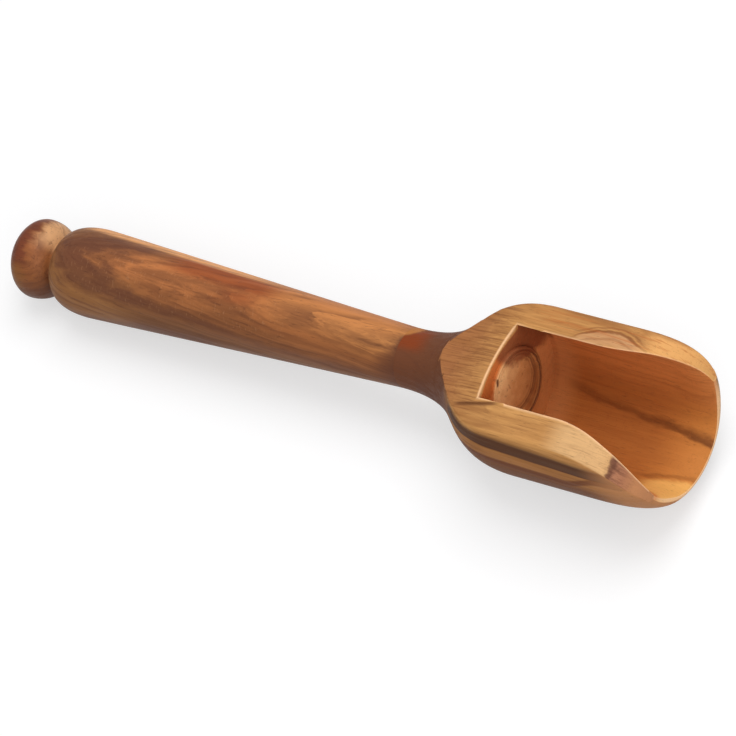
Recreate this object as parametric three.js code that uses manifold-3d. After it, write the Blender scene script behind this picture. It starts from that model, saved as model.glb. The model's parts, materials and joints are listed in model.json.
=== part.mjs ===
// A turned wooden salt scoop: a hollowed head, a tapered handle and an end knob on round spigots.
// Millimetres, +Z up. The pieces are turned along X, then laid as the scoop rests on a table.
import * as THREE from 'three';
import { mergeVertices } from 'three/addons/utils/BufferGeometryUtils.js';
import Module from 'manifold-3d';

const wasm = await Module();
wasm.setup();

// Knob
const knobDiameter = 16.3;
const knobLength = 10.2;
const knobCrown = 4.7;
const waistEntry = 1.8;
const waistDiameter = 10;
const waistLength = 1.2;

// Handle
const handleLength = 86;
const barrelDiameter = 18.1;
const barrelRounding = 8.2;
const taperEaseRear = 1.5;
const taperEaseFront = 3.2;
const neckDiameter = 11.9;

// Head
const headDiameter = 33;
const headLength = 61;
const swellLength = 29.2;
const coveReach = 19;
const shoulderReach = 15.5;
const lipDiameter = 28.8;
const lipRounding = 13;
const lipReach = 10;

// Bowl
const boreDiameter = 24.8;
const boreDepth = 36.6;
const mouthDiameter = 26.8;
const mouthFlare = 5;
const discDiameter = 16;
const discHeight = 0.5;

// Sawn top of the head
const landHeight = 9.45;
const noseLength = 19.4;
const noseDrop = 16.4;
const noseReach = 13.4;
const noseFall = 10.5;
const noseOverhang = 0.4;
const ridgeHalfWidth = 8.8;
const facetTilt = THREE.MathUtils.degToRad(10);

// Spigot joints
const knobSpigotDiameter = 6;
const knobSpigotLength = 10;
const neckSpigotDiameter = 7;
const neckSpigotLength = 13;
const fitGap = 0.3;
const socketBottomGap = 0.6;

// Fineness of the round forms
const turnSegments = 64;
const curveSteps = 9;
const noseSteps = 18;
const restPasses = 6;

// Stations along the turning axis, from the knob's end to the mouth
const waistEnd = knobLength + waistLength;
const handleStart = waistEnd + fitGap;
const handleEnd = handleStart + handleLength;
const headStart = handleEnd + fitGap;
const headEnd = headStart + headLength;
const bellyStart = headStart + swellLength;
const boreFloor = headEnd - boreDepth;

function oliveWood(name, color) {
  return new THREE.MeshStandardMaterial({ name, color, roughness: 0.5, metalness: 0 });
}

// A closed solid from a three.js geometry: shared corners merged and collapsed triangles dropped.
function solidOf(geometry) {
  const bare = geometry.clone();
  bare.deleteAttribute('normal');
  bare.deleteAttribute('uv');
  const merged = mergeVertices(bare);
  const corners = merged.index.array;
  const triangles = [];
  for (let i = 0; i < corners.length; i += 3) {
    const [a, b, c] = corners.slice(i, i + 3);
    if (a !== b && b !== c && c !== a) triangles.push(a, b, c);
  }
  return new wasm.Manifold(new wasm.Mesh({
    numProp: 3,
    vertProperties: new Float32Array(merged.attributes.position.array),
    triVerts: new Uint32Array(triangles),
  }));
}

function geometryOf(solid) {
  const mesh = solid.getMesh();
  const geometry = new THREE.BufferGeometry();
  geometry.setAttribute('position', new THREE.BufferAttribute(mesh.vertProperties, 3));
  geometry.setIndex(new THREE.BufferAttribute(mesh.triVerts, 1));
  geometry.computeVertexNormals();
  return geometry;
}

// Turns a profile of (radius, station) points about X, with a flat facet at the bottom.
function turned(profile) {
  const lathe = new THREE.LatheGeometry(profile, turnSegments);
  lathe.rotateY(Math.PI / turnSegments);
  lathe.rotateZ(-Math.PI / 2);
  return lathe;
}

function knobProfile() {
  const path = new THREE.Path();
  path.moveTo(0, 0);
  path.absellipse(0, knobCrown, knobDiameter / 2, knobCrown, -Math.PI / 2, 0, false);
  path.quadraticCurveTo(knobDiameter / 2, knobLength - waistEntry, waistDiameter / 2, knobLength);
  path.lineTo(waistDiameter / 2, waistEnd);
  path.lineTo(knobSpigotDiameter / 2, waistEnd);
  path.lineTo(knobSpigotDiameter / 2, waistEnd + knobSpigotLength);
  path.lineTo(0, waistEnd + knobSpigotLength);
  return path.getPoints(curveSteps);
}

function handleProfile() {
  const socketRadius = knobSpigotDiameter / 2 + fitGap;
  const socketEnd = waistEnd + knobSpigotLength + socketBottomGap;
  const barrelEnd = handleStart + barrelRounding;
  const barrel = barrelDiameter / 2;
  const neck = neckDiameter / 2;
  const path = new THREE.Path();
  path.moveTo(0, socketEnd);
  path.lineTo(socketRadius, socketEnd);
  path.lineTo(socketRadius, handleStart);
  path.lineTo(waistDiameter / 2, handleStart);
  path.quadraticCurveTo(barrel, handleStart, barrel, barrelEnd);
  path.bezierCurveTo(barrel, barrelEnd + taperEaseRear, neck, handleEnd - taperEaseFront, neck, handleEnd);
  path.lineTo(neckSpigotDiameter / 2, handleEnd);
  path.lineTo(neckSpigotDiameter / 2, handleEnd + neckSpigotLength);
  path.lineTo(0, handleEnd + neckSpigotLength);
  return path.getPoints(curveSteps);
}

function headProfile() {
  const socketRadius = neckSpigotDiameter / 2 + fitGap;
  const socketEnd = handleEnd + neckSpigotLength + socketBottomGap;
  const neck = neckDiameter / 2;
  const head = headDiameter / 2;
  const path = new THREE.Path();
  path.moveTo(0, socketEnd);
  path.lineTo(socketRadius, socketEnd);
  path.lineTo(socketRadius, headStart);
  path.lineTo(neck, headStart);
  path.bezierCurveTo(neck, headStart + coveReach, head, bellyStart - shoulderReach, head, bellyStart);
  path.lineTo(head, headEnd - lipRounding);
  path.quadraticCurveTo(head, headEnd - lipRounding + lipReach, lipDiameter / 2, headEnd);
  path.lineTo(mouthDiameter / 2, headEnd);
  path.quadraticCurveTo(boreDiameter / 2, headEnd, boreDiameter / 2, headEnd - mouthFlare);
  path.lineTo(boreDiameter / 2, boreFloor);
  path.lineTo(discDiameter / 2, boreFloor);
  path.lineTo(discDiameter / 2, boreFloor + discHeight);
  path.lineTo(0, boreFloor + discHeight);
  return path.getPoints(curveSteps);
}

// What the saw takes off the head: above the land, then down the rounded nose to the lip.
function sawnWaste() {
  const noseEnd = headEnd + noseOverhang;
  const noseStart = noseEnd - noseLength;
  const noseFoot = landHeight - noseDrop;
  const clear = headDiameter;
  const side = new THREE.Shape();
  side.moveTo(headStart, landHeight);
  side.lineTo(noseStart, landHeight);
  side.bezierCurveTo(noseStart + noseReach, landHeight, noseEnd, noseFoot + noseFall, noseEnd, noseFoot);
  side.lineTo(headEnd + clear, noseFoot);
  side.lineTo(headEnd + clear, landHeight + clear);
  side.lineTo(headStart, landHeight + clear);
  const across = { depth: 2 * clear, bevelEnabled: false, curveSegments: noseSteps };
  const waste = new THREE.ExtrudeGeometry(side, across);
  waste.translate(0, 0, -clear);
  waste.rotateX(Math.PI / 2);
  return waste;
}

// The same waste leaned outward about the edge of the land, for the sloping rim on one side.
function leanedWaste(side) {
  const waste = sawnWaste();
  waste.translate(0, -side * ridgeHalfWidth, -landHeight);
  waste.rotateX(-side * facetTilt);
  waste.translate(0, side * ridgeHalfWidth, landHeight);
  return waste;
}

function headGeometry(profile) {
  let head = solidOf(turned(profile));
  for (const waste of [sawnWaste(), leanedWaste(1), leanedWaste(-1)]) head = head.subtract(solidOf(waste));
  return geometryOf(head);
}

// The tilt at which the lowest places behind the neck and on the head both touch the table.
function tiltToRest(rearProfile, frontProfile) {
  let tilt = 0;
  const drop = (point) => point.x * Math.cos(tilt) - point.y * Math.sin(tilt);
  const lowest = (profile) => profile.reduce((best, point) => (drop(point) > drop(best) ? point : best));
  for (let pass = 0; pass < restPasses; pass += 1) {
    const rear = lowest(rearProfile);
    const front = lowest(frontProfile);
    const facetDrop = Math.cos(Math.PI / turnSegments);
    tilt = Math.atan2((front.x - rear.x) * facetDrop, front.y - rear.y);
  }
  return tilt;
}

const knobPoints = knobProfile();
const handlePoints = handleProfile();
const headPoints = headProfile();

function named(name, geometry, color) {
  const mesh = new THREE.Mesh(geometry, oliveWood(`${name}_wood`, color));
  mesh.name = name;
  return mesh;
}

const scoop = new THREE.Group();
scoop.add(named('scoop_head', headGeometry(headPoints), 0xb87f4a));
scoop.add(named('handle', geometryOf(solidOf(turned(handlePoints))), 0xa9683a));
scoop.add(named('end_knob', geometryOf(solidOf(turned(knobPoints))), 0x9a5a33));
scoop.rotation.y = -tiltToRest([...knobPoints, ...handlePoints], headPoints);

// Origin under the middle of the scoop as it rests.
const restBox = new THREE.Box3().setFromObject(scoop, true);
const middle = restBox.getCenter(new THREE.Vector3());
scoop.position.set(-middle.x, -middle.y, -restBox.min.z);

const part = new THREE.Group();
part.add(scoop);

export default part;
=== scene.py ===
import json
import math

import bmesh
import bpy
import numpy as np
from mathutils import Matrix, Vector


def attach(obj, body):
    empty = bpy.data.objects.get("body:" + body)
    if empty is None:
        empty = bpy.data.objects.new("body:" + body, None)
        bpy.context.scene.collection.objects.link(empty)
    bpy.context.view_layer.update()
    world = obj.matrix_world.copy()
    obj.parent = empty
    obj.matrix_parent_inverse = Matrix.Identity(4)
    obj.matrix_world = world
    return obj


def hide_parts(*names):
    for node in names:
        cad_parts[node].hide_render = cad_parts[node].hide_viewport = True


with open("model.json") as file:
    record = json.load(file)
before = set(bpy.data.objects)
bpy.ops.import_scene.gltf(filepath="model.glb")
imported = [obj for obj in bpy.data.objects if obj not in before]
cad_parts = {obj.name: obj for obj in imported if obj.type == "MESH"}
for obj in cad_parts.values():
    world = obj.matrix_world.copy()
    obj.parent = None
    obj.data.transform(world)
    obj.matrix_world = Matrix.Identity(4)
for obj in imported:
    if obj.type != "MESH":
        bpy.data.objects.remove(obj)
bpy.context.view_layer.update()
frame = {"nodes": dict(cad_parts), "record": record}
print("frame loaded:", ", ".join(sorted(frame["nodes"])))

mm = 0.001

# The turning axis is found from the mount on the sawn land; shapes below are in mm along that axis
landMount = {"station": 117.0, "height": 9.45}

mount = frame["record"]["mounts"][0]
upDir = Vector(mount["axis"]).normalized()
alongDir = Vector((0, 1, 0)).cross(upDir)
axisTilt = math.atan2(alongDir.z, alongDir.x)
axisStart = Vector(mount["pos_m"]) - mm * (landMount["station"] * alongDir + landMount["height"] * upDir)
turning = (
    Matrix.Translation(axisStart)
    @ Matrix((alongDir, (0, 1, 0), upDir)).transposed().to_4x4()
    @ Matrix.Scale(mm, 4)
)


def displayColour(red, green, blue):
    # 0 to 255 as a screen shows it, to the linear colour that Blender takes
    linear = []
    for level in (red / 255, green / 255, blue / 255):
        linear.append(level / 12.92 if level <= 0.04045 else ((level + 0.055) / 1.055) ** 2.4)
    return (*linear, 1.0)


# Shared mesh tools

mergeReach = 0.001  # mm within which two points are one
creaseAngle = 38.0  # degrees above which an edge shades sharp


def bezier(points, steps):
    t = np.linspace(0, 1, steps + 1)[:, None]
    rows = [np.array(point, float)[None, :] for point in points]
    while len(rows) > 1:
        rows = [a + (b - a) * t for a, b in zip(rows, rows[1:])]
    return rows[0]


def gridFaces(mesh, rows):
    verts = [[mesh.verts.new(point) for point in row] for row in rows]
    for near, far in zip(verts, verts[1:]):
        for k in range(len(near) - 1):
            mesh.faces.new((near[k], near[k + 1], far[k + 1], far[k]))


def finishPiece(name, mesh, node, material):
    mesh.transform(turning)
    bmesh.ops.recalc_face_normals(mesh, faces=mesh.faces)
    for face in mesh.faces:
        face.smooth = True
    data = bpy.data.meshes.new(name)
    mesh.to_mesh(data)
    mesh.free()
    data.set_sharp_from_angle(angle=math.radians(creaseAngle))
    data.materials.append(material)
    piece = bpy.data.objects.new(name, data)
    bpy.context.collection.objects.link(piece)
    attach(piece, "root")
    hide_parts(node)
    return piece


def turnedPiece(profile, sides):
    # spins (station, radius) points round the axis, with a single point where the radius is nought
    mesh = bmesh.new()
    turns = np.linspace(0, 2 * math.pi, sides + 1)
    rows = []
    for station, radius in profile:
        rows.append([(station, radius * math.sin(turn), radius * math.cos(turn)) for turn in turns])
    gridFaces(mesh, rows)
    bmesh.ops.remove_doubles(mesh, verts=mesh.verts, dist=mergeReach)
    return mesh


# Node helpers: a new node joins the tree of the outputs that feed it

def feed(value, socket):
    # another node's output is linked, a plain value is set
    if isinstance(value, bpy.types.NodeSocket):
        socket.id_data.links.new(value, socket)
    else:
        socket.default_value = value


def fill(node, values):
    # feeds each input that is named
    for label, value in values.items():
        feed(value, node.inputs[label])
    return node.outputs


def nodeBeside(kind, *values):
    tree = next(value.id_data for value in values if isinstance(value, bpy.types.NodeSocket))
    return tree.nodes.new(kind)


def calc(operation, *values, clamp=False):
    node = nodeBeside("ShaderNodeMath", *values)
    node.operation = operation
    node.use_clamp = clamp
    for socket, value in zip(node.inputs, values):
        feed(value, socket)
    return node.outputs[0]


def blend(mask, first, second):
    # the colour sockets come after those of the node's other data types
    node = nodeBeside("ShaderNodeMix", mask)
    node.data_type = "RGBA"
    for place, value in ((0, mask), (6, first), (7, second)):
        feed(value, node.inputs[place])
    return node.outputs[2]


def joined(x, y, z):
    node = nodeBeside("ShaderNodeCombineXYZ", x, y, z)
    for socket, value in zip(node.inputs, (x, y, z)):
        feed(value, socket)
    return node.outputs[0]


def scaled(*pairs):
    return joined(*(calc("MULTIPLY", value, scale) for value, scale in pairs))


def squareSum(first, second):
    return calc("MULTIPLY_ADD", first, first, calc("MULTIPLY", second, second))


def noise(vector, detail, roughness=0.5):
    node = nodeBeside("ShaderNodeTexNoise", vector)
    return fill(node, {"Vector": vector, "Scale": 1.0, "Detail": detail, "Roughness": roughness})[0]


def spread(value, low, high):
    # low to high becomes 0 to 1, smoothly
    node = nodeBeside("ShaderNodeMapRange", value)
    node.interpolation_type = "SMOOTHSTEP"
    return fill(node, {"Value": value, "From Min": low, "From Max": high})[0]


def newGroup(name, inputs, outputs):
    tree = bpy.data.node_groups.new(name, "ShaderNodeTree")
    for label, value in inputs.items():
        socket = tree.interface.new_socket(name=label, in_out="INPUT", socket_type="NodeSocketFloat")
        socket.default_value = value
    for label in outputs:
        tree.interface.new_socket(name=label, in_out="OUTPUT", socket_type="NodeSocketFloat")
    return tree, tree.nodes.new("NodeGroupInput").outputs, tree.nodes.new("NodeGroupOutput").inputs


def placeGroup(tree, group, values):
    node = tree.nodes.new("ShaderNodeGroup")
    node.node_tree = group
    return fill(node, values)


# Olive wood grain: layers that fall slowly toward the mouth, measured in mm in the turning frame
grainInputs = {
    "Origin": 50.0,
    "Fall": 0.085,
    "Ease": 0.085,
    "Lean": -0.07,
    "Warp": 3.0,
    "Ripple": 1.0,
    "Side Grain": 1.0,
    "Ring Width": 1.6,
    "Shift": 0.0,
}
grainOutputs = (
    "Along", "Across", "Height", "Around", "Radius", "Layer",
    "Streak", "Line", "Fleck", "Cloud", "Wander", "Tick",
)


def makeGrainGroup():
    tree, given, out = newGroup("oliveGrain", grainInputs, grainOutputs)
    coords = tree.nodes.new("ShaderNodeTexCoord")
    place = tree.nodes.new("ShaderNodeMapping")
    place.vector_type = "TEXTURE"
    turned = fill(place, {
        "Vector": coords.outputs["Object"],
        "Location": axisStart,
        "Rotation": (0, -axisTilt, 0),
        "Scale": (mm, mm, mm),
    })[0]
    along, across, height = fill(tree.nodes.new("ShaderNodeSeparateXYZ"), {"Vector": turned})
    shifted = calc("ADD", along, given["Shift"])

    def space(alongScale, acrossScale, third, thirdScale, side=across):
        return scaled((shifted, alongScale), (side, acrossScale), (third, thirdScale))

    def swing(vector, detail, reach):
        return calc("MULTIPLY", calc("SUBTRACT", noise(vector, detail), 0.5), reach)

    radius = calc("SQRT", squareSum(across, height))
    around = calc("DEGREES", calc("ARCTAN2", across, height))
    past = calc("SUBTRACT", along, given["Origin"])
    steep = calc("MULTIPLY", past, given["Fall"])
    slow = calc("MULTIPLY_ADD", past, given["Ease"], 0.7)
    fall = calc("SMOOTH_MIN", steep, slow, 1.0)
    flat = calc("ADD", calc("MULTIPLY_ADD", across, given["Lean"], height), fall)
    sway = swing(space(0.022, 0.075, height, 0.075), 2, given["Warp"])
    ripple = swing(space(0.07, 0.32, height, 0.32), 3, given["Ripple"])
    layer = calc("ADD", flat, calc("ADD", sway, ripple))

    sideGrain = calc("MULTIPLY", across, given["Side Grain"])
    streak = spread(noise(space(0.045, 1.0, layer, 1.3, sideGrain), 5, 0.62), 0.36, 0.64)
    ringPlace = calc("FRACT", calc("DIVIDE", layer, given["Ring Width"]))
    ringRise = spread(ringPlace, 0.5, 0.95)
    ringEdge = calc("MULTIPLY", ringRise, spread(ringPlace, 1.0, 0.97))
    broken = spread(noise(space(0.05, 0.4, height, 0.4), 2), 0.4, 0.6)
    fine = spread(noise(space(0.03, 2.6, layer, 2.6, sideGrain), 3, 0.55), 0.55, 0.7)
    grainLine = calc("MAXIMUM", calc("MULTIPLY", ringEdge, broken), fine)
    fleck = spread(noise(space(0.5, 4.4, height, 4.4), 2), 0.6, 0.74)
    cloud = spread(noise(space(0.06, 0.14, height, 0.14), 3), 0.35, 0.65)
    wander = swing(space(0.22, 0.55, height, 0.55), 3, 2.0)
    tick = spread(noise(space(2.6, 0.9, height, 0.9), 2), 0.58, 0.74)

    values = (
        along, across, height, around, radius, layer,
        streak, grainLine, fleck, cloud, wander, tick,
    )
    for label, value in zip(grainOutputs, values):
        feed(value, out[label])
    return tree


# A soft-edged band of a value, for single dark layers and for the ends of a figure
def makeBandGroup():
    inputs = {"Value": 0.0, "Centre": 0.0, "Half Width": 1.0, "Feather": 0.5}
    tree, given, out = newGroup("softBand", inputs, ("Mask",))
    away = calc("ABSOLUTE", calc("SUBTRACT", given["Value"], given["Centre"]))
    outer = calc("ADD", given["Half Width"], given["Feather"])
    inside = calc("SUBTRACT", 1.0, spread(away, given["Half Width"], outer))
    feed(inside, out["Mask"])
    return tree


grainGroup = makeGrainGroup()
bandGroup = makeBandGroup()


def band(value, centre, halfWidth, feather):
    values = {"Value": value, "Centre": centre, "Half Width": halfWidth, "Feather": feather}
    return placeGroup(value.id_data, bandGroup, values)["Mask"]


# The uneven ring where light handle wood gives way to the dark neck, on the two pieces that meet there
neckInputs = {"Along": 0.0, "Around": 0.0, "Wander": 0.0}


def makeNeckGroup():
    tree, given, out = newGroup("neckChange", neckInputs, ("Dark", "Glow"))
    top = calc("MULTIPLY", band(given["Around"], 58.0, 18.0, 36.0), 3.2)
    under = band(given["Around"], -100.0, 12.0, 33.0)
    place = calc("SUBTRACT", given["Along"], calc("ADD", top, under))
    ragged = calc("MULTIPLY_ADD", given["Wander"], 1.8, place)
    softStart = calc("MULTIPLY_ADD", band(given["Around"], -70.0, 25.0, 40.0), -5.0, 96.2)
    dark = spread(ragged, softStart, 98.0)
    glowTurn = band(given["Around"], 18.0, 16.0, 22.0)
    glow = calc("MULTIPLY", spread(given["Along"], 105.5, 100.5), glowTurn)
    feed(dark, out["Dark"])
    feed(glow, out["Glow"])
    return tree


neckGroup = makeNeckGroup()


def neckChange(grain):
    values = {label: grain[label] for label in neckInputs}
    return placeGroup(grain["Along"].id_data, neckGroup, values)


def newMaterial(name):
    material = bpy.data.materials.new(name)
    material.use_nodes = True
    return material, material.node_tree, material.node_tree.nodes["Principled BSDF"]


def layerRamp(value, stops):
    # stops are (place in mm, screen colour); the ramp covers the whole range of stops
    low, high = stops[0][0], stops[-1][0]
    node = nodeBeside("ShaderNodeValToRGB", value)
    span = calc("DIVIDE", calc("SUBTRACT", value, low), high - low, clamp=True)
    feed(span, node.inputs[0])
    ramp = node.color_ramp
    for k, (layer, colour) in enumerate(stops):
        place = (layer - low) / (high - low)
        if k == 0:
            stop = ramp.elements[0]
        elif k == len(stops) - 1:
            stop = ramp.elements[len(ramp.elements) - 1]
        else:
            stop = ramp.elements.new(place)
        stop.position = place
        stop.color = displayColour(*colour)
    return node.outputs[0]


def tint(body, mask, strength, colour):
    # lays a screen colour over the body where the mask is
    return blend(calc("MULTIPLY", mask, strength), body, displayColour(*colour))


def both(*masks):
    whole = masks[0]
    for mask in masks[1:]:
        whole = calc("MULTIPLY", whole, mask)
    return whole


def finishWood(shader, grain, colour, oil):
    # pores darken the wood a little, then sheen and relief
    worn = tint(colour, grain["Fleck"], oil["fleckDepth"], oil["poreColour"])
    bump = nodeBeside("ShaderNodeBump", worn)
    bump.invert = True
    relief = fill(bump, {
        "Strength": oil["reliefStrength"],
        "Distance": oil["reliefDepth"] * mm,
        "Height": calc("ADD", grain["Line"], grain["Fleck"]),
    })[0]
    fill(shader, {
        "Base Color": worn,
        "Roughness": calc("MULTIPLY_ADD", grain["Streak"], oil["roughSwing"], oil["rough"]),
        "Specular IOR Level": oil["shine"],
        "Normal": relief,
    })


# Knob

knob = {
    "tip": 0.01,
    "diameter": 16.26,
    "length": 10.2,
    "crown": 4.7,
    "waistEntry": 1.8,
    "waistDiameter": 10.0,
    "waistEnd": 11.55,
    "spigotDiameter": 6.0,
    "spigotEnd": 21.4,
    "sides": 112,
    "crownSteps": 24,
    "fallSteps": 18,
    "streakDark": (112, 62, 36),
    "lineDark": (92, 50, 32),
    "redEnd": (112, 52, 34),
    "lightSide": (230, 174, 122),
    "oliveSide": (146, 100, 46),
}

knobGrain = {"Warp": 4.0, "Ripple": 1.6, "Side Grain": 0.5, "Ring Width": 1.9, "Shift": 40.0}

knobOil = {
    "rough": 0.42,
    "roughSwing": 0.14,
    "shine": 0.24,
    "fleckDepth": 0.45,
    "poreColour": (70, 38, 26),
    "reliefStrength": 0.3,
    "reliefDepth": 0.1,
}


# In the figures below, along, across, height and radius are in mm and around is in degrees from the top
def knobWood():
    material, tree, shader = newMaterial("knobWood")
    grain = placeGroup(tree, grainGroup, knobGrain)
    along, around, radius = (grain[label] for label in ("Along", "Around", "Radius"))
    body = layerRamp(grain["Layer"], (
        (-14.0, (82, 46, 26)),
        (-3.0, (108, 62, 34)),
        (1.0, (150, 90, 48)),
        (5.0, (172, 104, 58)),
    ))
    body = tint(body, grain["Streak"], 0.45, knob["streakDark"])
    drift = calc("MULTIPLY_ADD", grain["Wander"], 2.4, along)
    redSide = calc("MAXIMUM", band(around, 5.0, 30.0, 34.0), spread(radius, 5.5, 2.0))
    redEnd = both(spread(drift, 7.4, 5.2), redSide)
    body = tint(body, redEnd, 0.8, knob["redEnd"])
    upper = both(spread(around, -14.0, 22.0), spread(around, 170.0, 110.0))
    light = both(spread(drift, 5.8, 8.2), upper)
    body = tint(body, light, 0.85, knob["lightSide"])
    lower = both(band(around, -62.0, 12.0, 20.0), spread(radius, 3.0, 6.5))
    olive = both(spread(drift, 7.0, 4.0), lower)
    body = tint(body, olive, 0.5, knob["oliveSide"])
    body = tint(body, grain["Line"], 0.4, knob["lineDark"])
    finishWood(shader, grain, body, knobOil)
    return material


def knobProfile():
    radius = knob["diameter"] / 2
    waist = knob["waistDiameter"] / 2
    spigot = knob["spigotDiameter"] / 2
    crown = []
    for turn in np.linspace(0, math.pi / 2, knob["crownSteps"] + 1):
        depth = (knob["crown"] - knob["tip"]) * (1 - math.cos(turn))
        crown.append((knob["tip"] + depth, radius * math.sin(turn)))
    fall = bezier([
        (knob["crown"], radius),
        (knob["length"] - knob["waistEntry"], radius),
        (knob["length"], waist),
    ], knob["fallSteps"])
    tail = [
        (knob["waistEnd"], waist),
        (knob["waistEnd"], spigot),
        (knob["spigotEnd"], spigot),
        (knob["spigotEnd"], 0.0),
    ]
    return [*crown, *fall[1:], *tail]


knobBody = turnedPiece(knobProfile(), knob["sides"])
finishPiece("endKnob", knobBody, "end_knob", knobWood())
print("knob turned")


# Handle

handle = {
    "start": 11.6,
    "end": 97.84,
    "barrelDiameter": 18.1,
    "barrelEnd": 19.9,
    "rearDiameter": 10.0,
    "neckDiameter": 11.9,
    "easeRear": 1.5,
    "easeFront": 3.2,
    "socketDiameter": 6.6,
    "socketEnd": 22.0,
    "spigotDiameter": 7.0,
    "spigotEnd": 110.7,
    "sides": 112,
    "backSteps": 26,
    "taperSteps": 60,
    "streakDark": (112, 66, 40),
    "lineDark": (98, 54, 34),
    "vein": (104, 61, 44),
    "neckHeart": (102, 58, 38),
    "red": (156, 74, 34),
    "under": (114, 70, 40),
    "rearTan": (176, 120, 66),
    "frontTop": (218, 142, 80),
    "farHighlight": (248, 176, 112),
    "tickPale": (214, 158, 110),
}

handleGrain = {
    "Origin": 22.0,
    "Fall": 0.2,
    "Ease": 0.105,
    "Warp": 2.0,
    "Ripple": 1.6,
    "Side Grain": 0.35,
    "Ring Width": 1.5,
}

handleOil = {
    "rough": 0.46,
    "roughSwing": 0.14,
    "shine": 0.22,
    "fleckDepth": 0.4,
    "poreColour": (74, 42, 28),
    "reliefStrength": 0.25,
    "reliefDepth": 0.1,
}


def handleWood():
    material, tree, shader = newMaterial("handleWood")
    grain = placeGroup(tree, grainGroup, handleGrain)
    along, around, layer, streak = (grain[label] for label in ("Along", "Around", "Layer", "Streak"))
    body = layerRamp(layer, (
        (-6.0, (106, 62, 32)),
        (2.0, (132, 82, 44)),
        (6.2, (158, 104, 58)),
        (9.2, (170, 106, 60)),
        (10.4, (198, 123, 70)),
        (12.4, (190, 116, 64)),
        (15.0, (224, 152, 86)),
    ))
    body = tint(body, streak, 0.6, handle["streakDark"])
    red = both(band(around, 28.0, 10.0, 16.0), band(along, 54.0, 8.0, 9.0))
    body = tint(body, red, 0.75, handle["red"])
    spot = both(band(around, -6.0, 7.0, 9.0), band(along, 59.0, 3.0, 5.0), grain["Cloud"])
    body = tint(body, spot, 0.5, handle["red"])

    # painted shade on the handle's near underside, forward of the barrel
    nearUnderShade = both(spread(around, 2.0, -46.0), spread(around, -178.0, -120.0))
    under = both(nearUnderShade, spread(along, 24.0, 38.0))
    body = tint(body, under, 0.5, handle["under"])
    rearLow = both(band(around, -58.0, 26.0, 22.0), spread(along, 42.0, 22.0))
    body = tint(body, rearLow, 0.45, handle["rearTan"])
    # painted highlight: a bright band along the handle's far top edge, where the light catches it
    farSide = both(spread(around, 36.0, 46.0), spread(around, 125.0, 60.0))
    farAlongEdge = both(spread(along, 14.0, 20.0), spread(along, 76.0, 50.0))
    body = tint(body, both(farSide, farAlongEdge), 0.85, handle["farHighlight"])

    frontTop = both(band(around, 40.0, 24.0, 22.0), band(along, 82.0, 11.0, 9.0))
    body = tint(body, frontTop, 0.55, handle["frontTop"])

    ragged = calc("MULTIPLY_ADD", grain["Wander"], 1.6, layer)
    narrowing = calc("MULTIPLY_ADD", spread(along, 22.0, 42.0), -1.5, ragged)
    farAlong = both(spread(along, 33.0, 39.0), spread(around, -5.0, 15.0))
    farTurn = spread(around, 38.0, 46.0)
    nearSide = calc("SUBTRACT", 1.0, calc("MAXIMUM", farAlong, farTurn))
    vein = both(spread(narrowing, 5.4, 7.9), spread(ragged, 10.3, 8.6), nearSide)
    veinDepth = calc("MULTIPLY_ADD", spread(along, 24.0, 70.0), -0.3, 0.78)
    body = tint(body, both(vein, veinDepth), 1.0, handle["vein"])
    lowEdge = both(band(around, -93.0, 5.0, 8.0), band(along, 43.0, 7.0, 7.0))
    body = tint(body, lowEdge, 0.5, handle["vein"])
    body = tint(body, grain["Line"], 0.45, handle["lineDark"])

    body = tint(body, neckChange(grain)["Dark"], 0.9, handle["neckHeart"])
    rubbed = both(grain["Tick"], band(around, -20.0, 22.0, 20.0), band(along, 46.0, 22.0, 12.0))
    body = tint(body, rubbed, 0.18, handle["tickPale"])
    finishWood(shader, grain, body, handleOil)
    return material


def handleProfile():
    barrel = handle["barrelDiameter"] / 2
    rear = handle["rearDiameter"] / 2
    neck = handle["neckDiameter"] / 2
    socket = handle["socketDiameter"] / 2
    spigot = handle["spigotDiameter"] / 2
    back = bezier([
        (handle["start"], rear),
        (handle["start"], barrel),
        (handle["barrelEnd"], barrel),
    ], handle["backSteps"])
    taper = bezier([
        (handle["barrelEnd"], barrel),
        (handle["barrelEnd"] + handle["easeRear"], barrel),
        (handle["end"] - handle["easeFront"], neck),
        (handle["end"], neck),
    ], handle["taperSteps"])
    hole = [(handle["socketEnd"], 0.0), (handle["socketEnd"], socket), (handle["start"], socket)]
    tail = [
        (handle["end"], spigot),
        (handle["spigotEnd"], spigot),
        (handle["spigotEnd"], 0.0),
    ]
    return [*hole, *back, *taper[1:], *tail]


handleBody = turnedPiece(handleProfile(), handle["sides"])
finishPiece("handleBarrel", handleBody, "handle", handleWood())
print("handle turned")


# Head

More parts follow.
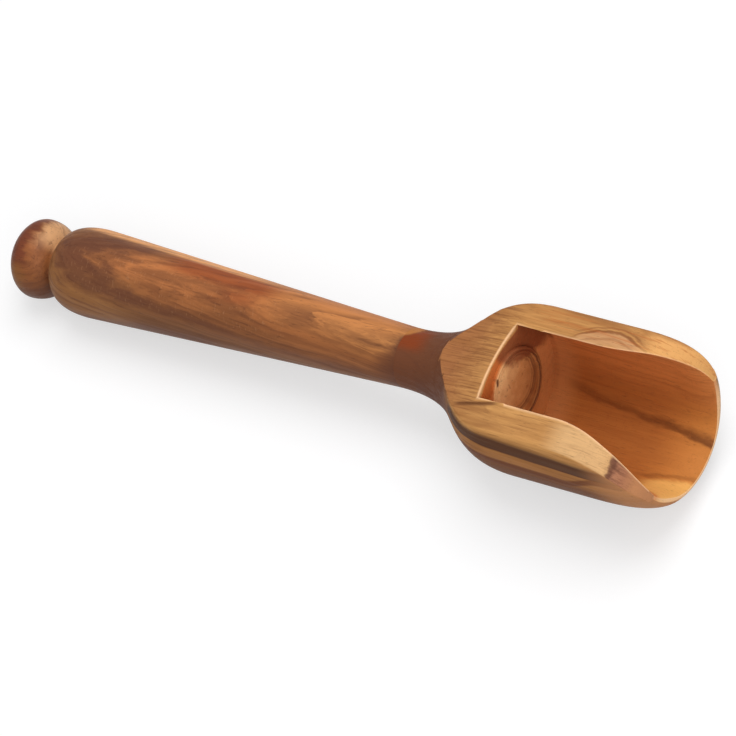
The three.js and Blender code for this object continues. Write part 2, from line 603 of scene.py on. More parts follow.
head = {
    "start": 97.86,
    "end": 159.0,
    "neckDiameter": 11.9,
    "diameter": 32.8,
    "bellyStart": 127.2,
    "coveReach": 19.0,
    "shoulderReach": 15.5,
    "lipDiameter": 28.8,
    "lipRounding": 13.0,
    "lipReach": 10.0,
    "lipHalfRound": 0.5,
    "boreDiameter": 24.8,
    "boreFloor": 122.4,
    "mouthDiameter": 27.6,
    "mouthFlare": 8.0,
    "mouthBend": 3.0,
    "discDiameter": 15.6,
    "discHeight": 0.5,
    "wallBow": 0.85,
    "landHeight": 9.45,
    "landDip": 1.5,
    "landLength": 12.4,
    "noseStart": 140.0,
    "noseEnd": 159.4,
    "noseReach": 13.4,
    "noseFall": 10.5,
    "noseDrop": 16.4,
    "rimLean": 10.0,
    "ridgeHalf": 9.35,
    "ridgeSlope": 0.235,
    "ridgeStep": 0.25,
    "sideThicken": 0.9,
    "sideThickenStart": 150.0,
    "sideTurn": 122.0,
    "bottomTurn": 158.0,
    "socketDiameter": 7.6,
    "socketEnd": 111.3,
    "edgeRound": 0.5,
    "weldReach": 0.002,
    "slimEdge": 0.0005,
    "roundSegments": 3,
    "lipPower": 4,
    "stepSlant": 0.4,
    "stepFront": (4.5, 1.0),
    "stepRear": (9.0, 11.5),
    "grooveRows": ((0.66, 0.04), (0.33, 0.12), (0.12, 0.25)),
    "grooveDepth": 0.3,
    "discRound": 0.15,
    "cutterRings": ((7.2, 0.0), (7.1, 0.12), (6.95, 0.0), (6.6, 0.0), (6.5, 0.09), (6.35, 0.0)),
    "discRows": (5.0, 3.0, 1.2, 0.0),
    "searchStep": 0.01,
    "coveSteps": 200,
    "lipSteps": 80,
    "flareSteps": 60,
    "noseSteps": 120,
    "rearRows": 18,
    "landRows": 30,
    "landCrowding": 1.7,
    "bowlRows": 24,
    "noseRows": 40,
    "lipRows": 8,
    "arcSteps": 44,
    "rimShares": (0.38, 0.55, 0.68, 0.8, 1.0),
    "landSteps": 8,
    "streakDark": (144, 90, 46),
    "lineDark": (128, 78, 44),
    "stripe": (76, 44, 30),
    "sideLine": (104, 50, 20),
    "bowlLine": (86, 38, 15),
    "bowlPaintedLight": (236, 158, 76),
    "lipHighlight": (255, 194, 108),
    "bowlDark": (140, 74, 34),
    "bowlRear": (238, 168, 108),
    "neckHeart": (106, 61, 42),
    "neckOrange": (140, 62, 25),
    "neckLight": (188, 120, 62),
    "wallStrip": (186, 96, 40),
    "wallHeart": (128, 64, 36),
    # dark of the cutter's rings and the pit, also used for painted shade in the disc's groove and along
    # the saw step
    "ringAndShadeDark": (104, 60, 36),
    "landBrown": (166, 104, 64),
    "flameLine": (126, 68, 38),
    "flamePale": (214, 162, 118),
    "rimRed": (184, 98, 44),
    "noseOrange": (240, 178, 108),
    "nosePink": (168, 110, 84),
    "noseTan": (194, 134, 92),
    "lipSideLit": (210, 146, 96),
    "noseDark": (92, 52, 38),
    "fibrePale": (236, 192, 138),
    "paleEdgeHighlight": (255, 206, 156),
}

headGrain = {
    "Fall": 0.05,
    "Ease": 0.05,
    "Warp": 1.2,
    "Ripple": 0.8,
    "Ring Width": 1.7,
    "Shift": 30.0,
}

headOil = {
    "rough": 0.52,
    "roughSwing": 0.12,
    "shine": 0.14,
    "fleckDepth": 0.3,
    "poreColour": (96, 58, 36),
    "reliefStrength": 0.35,
    "reliefDepth": 0.12,
}


def vertexMask(tree, name, low, high):
    node = tree.nodes.new("ShaderNodeAttribute")
    node.attribute_name = name
    return spread(node.outputs["Fac"], low, high)


def sawLines(grain, alongScale, acrossScale, low, high):
    # close straight lines along the grain, as a fine saw leaves them
    place = scaled((grain["Along"], alongScale), (grain["Across"], acrossScale), (grain["Height"], 0.5))
    return spread(noise(place, 3, 0.6), low, high)


def landFigure(grain, body, sawn):
    # browner toward the neck, with close lines along the grain
    along = grain["Along"]
    tip = both(sawn, spread(along, 123.0, 112.0))
    body = tint(body, tip, 0.7, head["landBrown"])
    onLand = both(sawn, spread(along, 125.0, 120.0))
    fineLines = sawLines(grain, 0.07, 2.6, 0.47, 0.66)
    body = tint(body, both(onLand, fineLines), 0.62, head["lineDark"])
    broadLines = sawLines(grain, 0.05, 0.9, 0.45, 0.7)
    body = tint(body, both(onLand, broadLines), 0.35, head["streakDark"])
    # the near edge of the land is a dark line: painted shade under the saw's step, over a dark line in
    # the wood
    ridgeZero = head["ridgeHalf"] + head["ridgeSlope"] * head["boreFloor"]
    ridgeSide = calc("MULTIPLY_ADD", along, head["ridgeSlope"], -ridgeZero)
    past = calc("SUBTRACT", ridgeSide, grain["Across"])
    creaseShade = both(band(past, 0.12, 0.14, 0.42), band(along, 122.5, 3.0, 2.5), sawn)
    return tint(body, creaseShade, 0.7, head["ringAndShadeDark"])


def rimFigure(grain, body, sawn):
    # a pale flame with a dark arched edge on the far rim, sawn fibres on the near rim
    along, across = grain["Along"], grain["Across"]
    arch = calc("MULTIPLY", calc("POWER", calc("SUBTRACT", along, 143.0), 2.0), 0.045)
    flame = calc("MULTIPLY_ADD", grain["Wander"], 0.7, calc("ADD", across, arch))
    span = band(along, 143.0, 6.0, 3.5)
    inside = both(sawn, span, band(flame, 10.2, 1.2, 0.6))
    body = tint(body, inside, 0.55, head["flamePale"])
    for centre, depth in ((11.9, 0.7), (12.8, 0.45), (10.2, 0.3)):
        edge = both(sawn, span, band(flame, centre, 0.08, 0.34))
        body = tint(body, edge, depth, head["flameLine"])
    farNose = both(sawn, spread(across, 4.0, 8.0), spread(along, 147.0, 151.5))
    body = tint(body, farNose, 0.8, head["noseOrange"])
    farRim = both(sawn, spread(across, 8.0, 9.5), spread(along, 122.0, 128.0))
    rimLines = sawLines(grain, 0.06, 1.9, 0.5, 0.7)
    body = tint(body, both(farRim, rimLines), 0.55, head["rimRed"])
    outerEdge = both(farRim, spread(grain["Radius"], 15.0, 15.9), grain["Cloud"])
    body = tint(body, outerEdge, 0.6, head["flameLine"])
    fibre = both(band(along, 147.5, 3.5, 6.0), spread(across, -8.0, -9.5), sawn)
    body = tint(body, fibre, 0.62, head["fibrePale"])
    fibreLines = sawLines(grain, 0.16, 3.4, 0.5, 0.68)
    return tint(body, both(fibre, fibreLines), 0.3, head["lineDark"])


def sideFigure(grain, body, sawn, hollow, outside):
    # the dark stripe under the near rim, the thin line below it, and the stripe where the nose cuts it
    along, across, layer = grain["Along"], grain["Across"], grain["Layer"]
    nearSide = spread(across, -9.5, -11.0)
    rise = calc("MULTIPLY", spread(along, 142.0, 151.0), 3.0)
    lower = calc("SUBTRACT", layer, rise)
    unsawn = calc("SUBTRACT", 1.0, sawn)
    unbored = calc("MULTIPLY_ADD", hollow, -0.75, 1.0)
    sideLine = both(band(lower, 6.2, 0.45, 0.7), nearSide, unbored)
    body = tint(body, sideLine, 0.8, head["sideLine"])
    stripe = both(spread(layer, 9.5, 9.9), spread(layer, 12.8, 11.6), nearSide, unsawn, unbored)
    body = tint(body, stripe, 0.9, head["stripe"])
    nose = calc("MULTIPLY_ADD", grain["Wander"], 1.2, along)
    cutStripe = both(sawn, nearSide, spread(nose, 152.7, 153.6))
    pink, tan = displayColour(*head["nosePink"]), displayColour(*head["noseTan"])
    cutTone = blend(spread(along, 154.0, 157.5), pink, tan)
    body = blend(calc("MULTIPLY", cutStripe, 0.85), body, cutTone)
    cutLines = sawLines(grain, 0.5, 2.2, 0.42, 0.62)
    cutFibres = both(cutStripe, cutLines, spread(along, 158.0, 154.0))
    body = tint(body, cutFibres, 0.5, head["noseDark"])
    cutEdge = both(sawn, nearSide, band(nose, 153.5, 0.2, 0.6))
    body = tint(body, cutEdge, 0.7, head["noseDark"])
    # lighter tone on the outside by the near lip: painted light over the shade there
    lipSideLit = both(outside, spread(along, 146.0, 156.0), spread(across, 2.0, -4.0))
    return tint(body, lipSideLit, 0.75, head["lipSideLit"])


def wallFigure(grain, body, hollow):
    # the bored end wall: orange strip, dark heartwood corner and the ring-marked disc
    along, across, height, radius = (grain[label] for label in ("Along", "Across", "Height", "Radius"))
    wall = both(hollow, spread(along, 124.0, 123.1))
    strip = both(wall, spread(height, 4.0, 6.0), spread(across, 3.0, 0.0))
    body = tint(body, strip, 0.85, head["wallStrip"])
    farPart = both(wall, spread(across, 3.0, 8.0))
    body = tint(body, farPart, 0.15, head["wallHeart"])
    onDisc = both(wall, spread(radius, 7.9, 7.6), spread(along, 122.4, 122.6))
    # the disc's tan is painted lighter toward its top and near side and darker toward the far side, as
    # light and shade
    toward = calc("SUBTRACT", height, calc("MULTIPLY", across, 0.8))
    discLightShade = layerRamp(calc("MULTIPLY_ADD", grain["Wander"], 5.0, toward), (
        (-8.0, (162, 104, 58)),
        (0.0, (200, 138, 84)),
        (8.0, (238, 186, 128)),
    ))
    body = blend(calc("MULTIPLY", onDisc, 0.9), body, discLightShade)
    speckle = both(onDisc, spread(grain["Tick"], 0.2, 0.9))
    body = tint(body, speckle, 0.35, head["wallHeart"])
    # the inner rings have a middle of their own
    innerAcross, innerUp = calc("SUBTRACT", across, 0.2), calc("SUBTRACT", height, 1.2)
    innerRadius = calc("SQRT", squareSum(innerAcross, innerUp))
    rough = calc("MULTIPLY", grain["Wander"], 0.35)
    # the first ring is painted shade in the groove round the disc's edge; the rest are the cutter's ring
    # marks
    ringsAndGrooveShade = (
        (radius, 8.15, 0.25, 0.35),
        (radius, 7.75, 0.08, 0.55),
        (radius, 7.15, 0.12, 0.8),
        (innerRadius, 6.1, 0.1, 0.45),
        (innerRadius, 5.6, 0.12, 0.6),
        (innerRadius, 4.9, 0.08, 0.3),
    )
    for reach, centre, halfWidth, depth in ringsAndGrooveShade:
        away = spread(toward, 9.0 if reach is radius else 4.0, 0.0)
        ring = both(wall, band(calc("ADD", reach, rough), centre, halfWidth, 0.22), away)
        body = tint(body, ring, depth, head["ringAndShadeDark"])
    # a small long pit near the disc's edge
    pitAcross = calc("ADD", across, 3.22)
    pitUp = calc("SUBTRACT", height, 6.56)
    longWay = calc("MULTIPLY_ADD", pitAcross, 0.76, calc("MULTIPLY", pitUp, 0.89))
    shortWay = calc("MULTIPLY_ADD", pitAcross, -2.0, calc("MULTIPLY", pitUp, 1.7))
    pit = both(wall, spread(squareSum(longWay, shortWay), 1.3, 0.5))
    body = tint(body, pit, 0.9, head["ringAndShadeDark"])
    corner = calc("ADD", calc("MULTIPLY", across, 0.75), height)
    ragged = calc("MULTIPLY_ADD", grain["Wander"], 2.0, corner)
    heart = both(wall, spread(ragged, 5.5, 7.4), spread(across, -0.5, 1.2), spread(height, -3.0, 0.5))
    return tint(body, heart, 0.85, head["wallHeart"])


def neckFigure(grain, body, outside):
    # light where it meets the handle, then dark heartwood with an orange glow on top
    along = grain["Along"]
    change = neckChange(grain)
    body = tint(body, both(spread(along, 104.0, 102.0), outside), 0.9, head["neckLight"])
    neck = both(spread(along, 117.5, 112.0), outside, change["Dark"])
    body = tint(body, neck, 0.92, head["neckHeart"])
    return tint(body, both(change["Glow"], change["Dark"]), 0.88, head["neckOrange"])


def headWood():
    material, tree, shader = newMaterial("headWood")
    grain = placeGroup(tree, grainGroup, headGrain)
    along, across, height, layer = (grain[label] for label in ("Along", "Across", "Height", "Layer"))
    hollow = vertexMask(tree, "hollow", 0.6, 0.95)
    sawn = vertexMask(tree, "sawn", 0.6, 0.95)
    outside = calc("SUBTRACT", 1.0, calc("MAXIMUM", hollow, sawn))
    body = layerRamp(layer, (
        (-12.0, (76, 40, 16)),
        (-2.0, (94, 50, 19)),
        (5.0, (113, 63, 25)),
        (7.0, (178, 118, 62)),
        (10.0, (190, 130, 72)),
        (12.0, (206, 148, 86)),
        (16.0, (218, 162, 98)),
    ))
    bowlTone = layerRamp(layer, (
        (-10.0, (194, 117, 53)),
        (-5.0, (178, 103, 47)),
        (3.0, (224, 138, 75)),
        (12.0, (234, 156, 93)),
    ))
    figured = tint(body, grain["Streak"], 0.4, head["streakDark"])
    figured = tint(figured, grain["Line"], 0.4, head["lineDark"])
    bored = tint(bowlTone, grain["Streak"], 0.22, head["bowlDark"])
    bored = tint(bored, grain["Line"], 0.2, head["bowlDark"])
    body = blend(hollow, figured, bored)

    # painted light: a warm pool of light on the bowl floor near the lip
    low = both(hollow, spread(height, -6.0, -12.0), spread(along, 146.0, 156.0))
    body = tint(body, low, 0.3, head["bowlPaintedLight"])
    rear = both(hollow, spread(along, 130.0, 124.0), spread(height, 4.0, -2.0))
    body = tint(body, rear, 0.35, head["bowlRear"])
    scraped = both(hollow, grain["Tick"])
    body = tint(body, scraped, 0.16, head["bowlDark"])
    # one dark line down the bowl, in degrees round from the top
    lineTwist = 0.53
    lineTurn = calc("MULTIPLY_ADD", along, lineTwist, 143.0 - lineTwist * 125.0)
    offLine = calc("SUBTRACT", grain["Around"], lineTurn)
    past = calc("MULTIPLY_ADD", grain["Wander"], 5.5, offLine)
    seamLine = both(
        hollow,
        spread(past, -8.5, -0.5),
        spread(past, 5.0, 1.0),
        spread(along, 123.5, 130.0),
    )
    seamDepth = calc("MULTIPLY_ADD", spread(along, 136.0, 158.0), 0.33, 0.4)
    seamBreak = calc("MULTIPLY_ADD", grain["Tick"], -0.45, 1.0)
    body = tint(body, both(seamLine, seamDepth, seamBreak), 1.0, head["bowlLine"])
    # near the lip a painted yellow highlight on the floor, with a dark streak above it
    streakSlope = 0.26
    streakSide = calc("MULTIPLY_ADD", along, streakSlope, -6.0 - streakSlope * 149.0)
    offStreak = calc("SUBTRACT", across, streakSide)
    beside = calc("MULTIPLY_ADD", grain["Wander"], 1.2, offStreak)
    onFloor = both(hollow, spread(height, -7.0, -9.0))
    lowWall = both(hollow, spread(height, -3.5, -6.0))
    yellowHighlight = both(lowWall, spread(beside, -0.5, -1.8), spread(along, 149.0, 154.0))
    body = tint(body, yellowHighlight, 0.65, head["lipHighlight"])
    floorStreak = both(onFloor, band(beside, 0.0, 0.15, 0.8), band(along, 154.0, 3.5, 4.0))
    body = tint(body, floorStreak, 0.3, head["bowlLine"])

    body = landFigure(grain, body, sawn)
    body = rimFigure(grain, body, sawn)
    body = sideFigure(grain, body, sawn, hollow, outside)
    body = wallFigure(grain, body, hollow)
    body = neckFigure(grain, body, outside)
    # edges rubbed pale, with a painted highlight along them
    body = tint(body, vertexMask(tree, "paleEdgeHighlight", 0.36, 0.9), 0.8, head["paleEdgeHighlight"])
    finishWood(shader, grain, body, headOil)
    return material


headOuter = np.vstack([
    bezier([
        (head["start"], head["neckDiameter"] / 2),
        (head["start"] + head["coveReach"], head["neckDiameter"] / 2),
        (head["bellyStart"] - head["shoulderReach"], head["diameter"] / 2),
        (head["bellyStart"], head["diameter"] / 2),
    ], head["coveSteps"]),
    bezier([
        (head["end"] - head["lipRounding"], head["diameter"] / 2),
        (head["end"] - head["lipRounding"] + head["lipReach"], head["diameter"] / 2),
        (head["end"], head["lipDiameter"] / 2),
    ], head["lipSteps"]),
])
headBore = np.vstack([
    [(head["boreFloor"], head["boreDiameter"] / 2)],
    bezier([
        (head["end"] - head["mouthFlare"], head["boreDiameter"] / 2),
        (head["end"] - head["mouthBend"], head["boreDiameter"] / 2),
        (head["end"], head["mouthDiameter"] / 2),
    ], head["flareSteps"]),
])
headCut = np.vstack([
    [(head["start"], head["landHeight"])],
    bezier([
        (head["noseStart"], head["landHeight"]),
        (head["noseStart"] + head["noseReach"], head["landHeight"]),
        (head["noseEnd"], head["landHeight"] - head["noseDrop"] + head["noseFall"]),
        (head["noseEnd"], head["landHeight"] - head["noseDrop"]),
    ], head["noseSteps"]),
])
rimLean = math.tan(math.radians(head["rimLean"]))
windowHalf = math.sqrt((head["boreDiameter"] / 2) ** 2 - head["landHeight"] ** 2)
landShares = np.linspace(0, 1, head["landSteps"] + 1)[1:]
lipMiddle = (head["lipDiameter"] + head["mouthDiameter"]) / 4


def share(value, first, last):
    # 0 up to the first, 1 from the last on
    return min(1.0, max(0.0, (value - first) / (last - first)))


def shareFrom(start, value, reach):
    # the same, with both ends measured from a start
    return share(value, start + reach[0], start + reach[1])


def smooth(part):
    return part * part * (3 - 2 * part)


def readCurve(curve, station):
    return float(np.interp(station, curve[:, 0], curve[:, 1]))


def cutAt(station):
    # height of the sawn top, which sinks a little toward the neck
    back = share(station, head["boreFloor"], head["boreFloor"] - head["landLength"])
    return readCurve(headCut, station) - head["landDip"] * smooth(back)


def firstStation(start, holds):
    # the first place along the head where the test holds
    for station in np.arange(start, head["boreFloor"], head["searchStep"]):
        if holds(station):
            return float(station)


landTip = firstStation(head["start"], lambda station: readCurve(headOuter, station) >= cutAt(station))


def wallRadii(station):
    # outer and inner radius, drawn together into a rounded edge at the lip
    outer = readCurve(headOuter, station)
    inner = readCurve(headBore, station)
    into = (station - head["end"]) / head["lipHalfRound"] + 1
    if into > 0:
        thin = max(0.0, 1 - into ** head["lipPower"]) ** (1 / head["lipPower"])
        outer = lipMiddle + (outer - lipMiddle) * thin
        inner = lipMiddle + (inner - lipMiddle) * thin
    return outer, inner


def cutAngle(radius, cut, ridge):
    # how far round from the top a circle meets the sawn top, which leans outward beyond the ridge
    if radius <= cut:
        return 0.0
    flat = math.acos(cut / radius)
    if radius * math.sin(flat) <= ridge:
        return flat
    leaned = (cut + ridge * rimLean) / (radius * math.hypot(1, rimLean))
    return math.atan(rimLean) + math.acos(leaned)


def landCorner(station):
    # half width at which the sawn top meets the turned outside
    return math.sqrt(max(0.0, wallRadii(station)[0] ** 2 - cutAt(station) ** 2))


def ridgeAt(station):
    # half width of the flat top, from the land's corner in to the bowl's edge
    straight = head["ridgeHalf"] - head["ridgeSlope"] * (station - head["boreFloor"])
    if station > head["boreFloor"]:
        return max(windowHalf, straight)
    return min(straight, landCorner(station))


ridgeStart = firstStation(landTip, lambda station: ridgeAt(station) < landCorner(station))
ridgeEnd = head["boreFloor"] + (head["ridgeHalf"] - windowHalf) / head["ridgeSlope"]


def stepAt(station):
    # height of the saw's step beside the window's corners
    front = shareFrom(head["boreFloor"], station, head["stepFront"])
    return head["ridgeStep"] * front * shareFrom(landTip, station, head["stepRear"])


def arc(station, radius, first, last, steps):
    turns = np.linspace(first, last, steps + 1)
    return [(station, radius * math.sin(turn), radius * math.cos(turn)) for turn in turns]


def line(start, end, shares):
    return [tuple(a + (b - a) * part for a, b in zip(start, end)) for part in shares]


def bowed(point, amount):
    # the window's rear edge is hollowed toward the neck in its middle
    station, y, z = point
    return (station - amount * max(0.0, 1 - (y / windowHalf) ** 2), y, z)


def rearSection(station):
    outer = wallRadii(station)[0]
    cut = cutAt(station)
    if outer <= cut:
        top = arc(station, outer, math.pi, 0.0, head["arcSteps"])
        return top + [top[-1]] * (len(head["rimShares"]) + 2 + head["landSteps"])
    ridge = ridgeAt(station)
    foot = cut - stepAt(station)
    bow = head["wallBow"] * share(station, landTip, head["boreFloor"]) ** 2
    points = arc(station, outer, math.pi, cutAngle(outer, foot, ridge), head["arcSteps"])
    crest = (station, ridge + head["stepSlant"] * (cut - foot), foot)
    points += line(points[-1], crest, head["rimShares"])
    inner = (station, ridge * windowHalf / head["ridgeHalf"], cut)
    land = [(station, ridge, cut), inner] + line(inner, (station, 0.0, cut), landShares)
    return points + [bowed(point, bow) for point in land]


def bowlSection(station):
    outer, inner = wallRadii(station)
    cut = cutAt(station)
    ridge = ridgeAt(station)
    foot = cut - stepAt(station)
    hollow = arc(station, inner, cutAngle(inner, cut, ridge), math.pi, head["arcSteps"])
    crest = (station, ridge + head["stepSlant"] * (cut - foot), foot)
    brow = (station, ridge, cut)
    if hollow[0][1] > ridge - mergeReach:
        crest = brow = hollow[0]
    points = arc(station, outer, math.pi, cutAngle(outer, foot, ridge), head["arcSteps"])
    return points + line(points[-1], crest, head["rimShares"]) + [brow] + hollow


def endWallRows():
    # from the bowl's edge in to the middle: a groove, the raised disc, and the cutter's rings on it
    floor = head["boreFloor"]
    face = floor + head["discHeight"]
    disc = head["discDiameter"] / 2
    middle = (floor, 0.0, head["landHeight"])
    edge = [middle] + line(middle, (floor, windowHalf, head["landHeight"]), landShares)
    turn = math.atan2(windowHalf, head["landHeight"])
    bottom = arc(floor, head["boreDiameter"] / 2, turn, math.pi, head["arcSteps"])
    border = [bowed(point, head["wallBow"]) for point in edge] + bottom[1:]
    rows = [border]
    for part, depth in head["grooveRows"]:
        row = []
        for station, y, z in border:
            reach = math.hypot(y, z)
            grow = (disc + (reach - disc) * part) / reach
            row.append((floor + (station - floor) * part - depth, y * grow, z * grow))
        rows.append(row)
    discRound = head["discRound"]
    rings = [(disc, floor - head["grooveDepth"]), (disc, face - discRound), (disc - discRound, face)]
    rings += [(radius, face - depth) for radius, depth in head["cutterRings"]]
    rings += [(radius, face) for radius in head["discRows"]]
    for radius, station in rings:
        row = []
        for _, y, z in border:
            reach = math.hypot(y, z)
            row.append((station, radius * y / reach, radius * z / reach))
        rows.append(row)
    return rows


def socketRows():
    start, end = head["start"], head["socketEnd"]
    socket = head["socketDiameter"] / 2
    profile = ((start, head["neckDiameter"] / 2), (start, socket), (end, socket), (end, 0.0))
    return [arc(station, radius, math.pi, 0.0, head["arcSteps"]) for station, radius in profile]


def headStations():
    floor, nose = head["boreFloor"], head["noseStart"]
    lip = head["end"] - head["lipHalfRound"]
    rear = np.linspace(head["start"], landTip, head["rearRows"])
    crowded = np.linspace(0, 1, head["landRows"]) ** head["landCrowding"]
    land = landTip + (floor - landTip) * crowded
    bowl = np.linspace(floor, nose, head["bowlRows"])
    front = np.linspace(nose, lip, head["noseRows"])
    quarter = np.linspace(0, math.pi / 2, head["lipRows"])
    rounded = lip + head["lipHalfRound"] * np.sin(quarter[1:])
    return [*rear, *land[1:]], [*bowl, *front[1:], *rounded]


def headMesh():
    mesh = bmesh.new()
    rear, bowl = headStations()
    patches = (
        [rearSection(station) for station in rear],
        [bowlSection(station) for station in bowl],
        endWallRows(),
        socketRows(),
    )
    for side in (1, -1):
        for rows in patches:
            gridFaces(mesh, [[(x, side * y, z) for x, y, z in row] for row in rows])
    bmesh.ops.remove_doubles(mesh, verts=mesh.verts, dist=head["weldReach"])
    bmesh.ops.dissolve_degenerate(mesh, edges=mesh.edges, dist=head["slimEdge"])
    return mesh


def sideShare(point):
    # 1 at the sides of the mouth, 0 at its bottom
    turn = math.degrees(math.atan2(abs(point.y), point.z))
    return 1 - smooth(share(turn, head["sideTurn"], head["bottomTurn"]))


def thickenSides(mesh):
    # only the bottom of the mouth is thinned; at the sides the wall stays thick up to the lip
    for vert in mesh.verts:
        near = smooth(share(vert.co.x, head["sideThickenStart"], head["end"]))
        if near == 0:
            continue
        outer, inner = readCurve(headOuter, vert.co.x), readCurve(headBore, vert.co.x)
        reach = math.hypot(vert.co.y, vert.co.z)
        inward = share(reach, outer, inner)
        slim = 1 - head["sideThicken"] * near * sideShare(vert.co) * inward / reach
        vert.co.y *= slim
        vert.co.z *= slim


# Where edges are rounded, rubbed pale and given a painted highlight, and how closely points are told
# apart, in mm
soft = {
    "sharpAngle": 28.0,
    "tipClear": 0.3,
    "mouthClear": 0.6,
    "outerReach": 0.3,
    "edgeReach": 0.06,
    "faceReach": 0.05,
    "fullWall": 3.0,
    "landRoom": 0.25,
    "cornerEase": (0.3, 2.0),
    "tipEase": (3.0, 7.0),
    "noseEase": (151.0, 155.0),
    "noseLoss": 0.5,
    "windowEase": (0.4, 2.4),
    "windowPart": 0.5,
    "paleNear": 1.0,
    "paleFar": 0.8,
    "lipDepth": 0.08,
    "lipOutside": 0.02,
    "lipPale": 0.5,
    "lipTaper": (0.5, 7.0),
    "lipTurn": (2.0, -2.0),
    "tipReach": 0.02,
    "sawnReach": 0.03,
    "boreReach": 0.01,
    "wallDepth": 1.0,
}


def sharpEdges(mesh):
    # the sharp outward edges between the land's tip and the lip, each with its middle
    low, high = landTip + soft["tipClear"], head["end"] - soft["mouthClear"]
    for edge in mesh.edges:
        if len(edge.link_faces) != 2 or not edge.is_convex:
            continue
        middle = (edge.verts[0].co + edge.verts[1].co) / 2
        if low <= middle.x <= high and edge.calc_face_angle() >= math.radians(soft["sharpAngle"]):
            yield edge, middle


def markEdges(mesh):
    # bevel weights, soft outside and crisp at the window, where the edge is also rubbed pale with a
    # painted highlight
    bmesh.ops.recalc_face_normals(mesh, faces=mesh.faces)
    weight = mesh.edges.layers.float.new("bevel_weight_edge")
    pale = mesh.verts.layers.float.new("paleEdgeHighlight")
    floor = head["boreFloor"]
    for edge, middle in sharpEdges(mesh):
        outer, inner = wallRadii(middle.x)
        radius = math.hypot(middle.y, middle.z)
        onBore = middle.x > floor and abs(radius - inner) < soft["edgeReach"]
        behind = floor - head["wallBow"] - soft["faceReach"] < middle.x <= floor
        level = abs(middle.z - cutAt(middle.x)) < soft["edgeReach"]
        onWindow = behind and level and abs(middle.y) < windowHalf
        if radius > outer - soft["outerReach"]:
            room = outer - inner if middle.x > floor else soft["landRoom"] * abs(middle.y)
            ease = share(abs(middle.x - ridgeStart), *soft["cornerEase"])
            ease *= shareFrom(landTip, middle.x, soft["tipEase"])
            steep = 1 - soft["noseLoss"] * share(middle.x, *soft["noseEase"])
            edge[weight] = ease * steep * min(1.0, room / soft["fullWall"])
        elif onBore or onWindow:
            ease = share(abs(middle.x - ridgeEnd), *soft["windowEase"])
            edge[weight] = soft["windowPart"] * ease * min(1.0, (outer - inner) / soft["fullWall"])
            for vert in edge.verts:
                near = vert.co.y < soft["paleNear"] or vert.co.x < floor
                vert[pale] = 1.0 if near else soft["paleFar"]
    for vert in mesh.verts:
        if vert.co.x > head["end"] - soft["lipDepth"]:
            taper = share(cutAt(vert.co.x) - vert.co.z, *soft["lipTaper"])
            vert[pale] = soft["lipPale"] + (1 - soft["lipPale"]) * taper
            if math.hypot(vert.co.y, vert.co.z) > lipMiddle + soft["lipOutside"]:
                vert[pale] *= 1 - sideShare(vert.co) * share(vert.co.y, *soft["lipTurn"])


def markFaces(mesh):
    # which points lie in the bored hollow and which on the sawn top
    hollow = mesh.verts.layers.float.new("hollow")
    sawn = mesh.verts.layers.float.new("sawn")
    floor = head["boreFloor"]
    windowFoot = cutAt(floor) - soft["faceReach"]
    for vert in mesh.verts:
        station, half, height = vert.co.x, abs(vert.co.y), vert.co.z
        if station < landTip - soft["tipReach"]:
            continue
        top = cutAt(station) - stepAt(station) - rimLean * max(0.0, half - ridgeAt(station))
        if height > top - soft["sawnReach"]:
            vert[sawn] = 1.0
        inBore = math.hypot(half, height) < wallRadii(station)[1] + soft["boreReach"]
        if inBore and station > floor - soft["wallDepth"] and height < windowFoot:
            vert[hollow] = 1.0


headBody = headMesh()
markEdges(headBody)
markFaces(headBody)
thickenSides(headBody)
scoopHead = finishPiece("scoopHead", headBody, "scoop_head", headWood())
rounding = scoopHead.modifiers.new("edgeRound", "BEVEL")
rounding.limit_method = "WEIGHT"
rounding.width = head["edgeRound"] * mm
rounding.segments = head["roundSegments"]
rounding.use_clamp_overlap = False
weld = scoopHead.modifiers.new("weldEdges", "WELD")
weld.merge_threshold = head["weldReach"] * mm
print("head built:", len(scoopHead.data.vertices), "points")


# Floor, light and camera

studio = {
    "floorSize": 4.0,
    "floorColour": (0.5, 0.5, 0.505, 1.0),
    "floorLift": 0.54,
    "floorRough": 0.9,
    "floorShine": 0.1,
    "skyStrength": 0.42,
    "keyFrom": (0.20, 0.36, 0.92),
    "keyPower": 4.5,
    "keySize": 0.7,
    "fillFrom": (0.80, -0.45, 0.60),
    "fillPower": 3.0,
    "fillSize": 0.9,
    "lampDistance": 0.9,
}

shot = {
    "aimStation": 87.27,
    "aimDrop": 4.17,
    "azimuth": 60.51,
    "elevation": 49.47,
    "roll": -38.106,
    "distance": 940.6,
    "lens": 239.2,
    "sensor": 36.0,
}


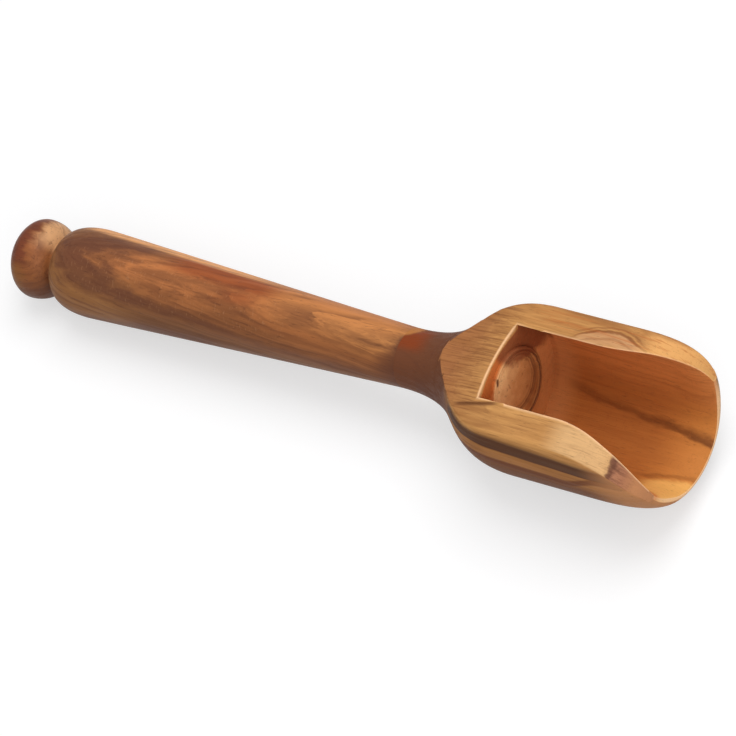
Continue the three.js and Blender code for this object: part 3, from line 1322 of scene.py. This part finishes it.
def makeFloor():
    mesh = bmesh.new()
    bmesh.ops.create_grid(mesh, x_segments=1, y_segments=1, size=studio["floorSize"] / 2)
    data = bpy.data.meshes.new("paleFloor")
    mesh.to_mesh(data)
    mesh.free()
    material, tree, shader = newMaterial("paleFloor")
    path = tree.nodes.new("ShaderNodeLightPath")
    seen = calc("MAXIMUM", path.outputs["Is Camera Ray"], path.outputs["Is Glossy Ray"])
    seen = calc("MAXIMUM", seen, path.outputs["Is Transmission Ray"])
    fill(shader, {
        "Base Color": studio["floorColour"],
        "Roughness": studio["floorRough"],
        "Specular IOR Level": studio["floorShine"],
        "Emission Color": (1, 1, 1, 1),
        "Emission Strength": calc("MULTIPLY", seen, studio["floorLift"]),
    })
    data.materials.append(material)
    floor = bpy.data.objects.new("paleFloor", data)
    bpy.context.collection.objects.link(floor)


def makeWorld():
    world = bpy.data.worlds.new("softSky")
    world.use_nodes = True
    sky = world.node_tree.nodes["Background"]
    fill(sky, {"Color": (1, 1, 1, 1), "Strength": studio["skyStrength"]})
    bpy.context.scene.world = world


def addLamp(name, direction, power, size, aim):
    lamp = bpy.data.lights.new(name, "AREA")
    lamp.energy = power
    lamp.size = size
    body = bpy.data.objects.new(name, lamp)
    toward = turning.to_3x3().normalized() @ Vector(direction).normalized()
    body.location = aim + studio["lampDistance"] * toward
    body.rotation_euler = toward.to_track_quat("Z", "Y").to_euler()
    bpy.context.collection.objects.link(body)


def makeCamera():
    azimuth, elevation = math.radians(shot["azimuth"]), math.radians(shot["elevation"])
    back = Vector((
        math.cos(elevation) * math.sin(azimuth),
        -math.cos(elevation) * math.cos(azimuth),
        math.sin(elevation),
    ))
    level = Vector((math.cos(azimuth), math.sin(azimuth), 0))
    right = Matrix.Rotation(math.radians(shot["roll"]), 3, back) @ level
    up = back.cross(right)
    aim = Vector((shot["aimStation"], 0, 0)) - shot["aimDrop"] * up
    turn = turning.to_3x3().normalized() @ Matrix((right, up, back)).transposed()
    lens = bpy.data.cameras.new("photoCamera")
    lens.lens = shot["lens"]
    lens.sensor_width = shot["sensor"]
    camera = bpy.data.objects.new("photoCamera", lens)
    camera.matrix_world = Matrix.Translation(turning @ (aim + shot["distance"] * back)) @ turn.to_4x4()
    bpy.context.collection.objects.link(camera)
    bpy.context.scene.camera = camera
    return turning @ aim


aimPoint = makeCamera()
makeFloor()
makeWorld()
addLamp("keyLamp", studio["keyFrom"], studio["keyPower"], studio["keySize"], aimPoint)
addLamp("fillLamp", studio["fillFrom"], studio["fillPower"], studio["fillSize"], aimPoint)
bpy.context.scene.view_settings.view_transform = "Standard"
print("studio set")
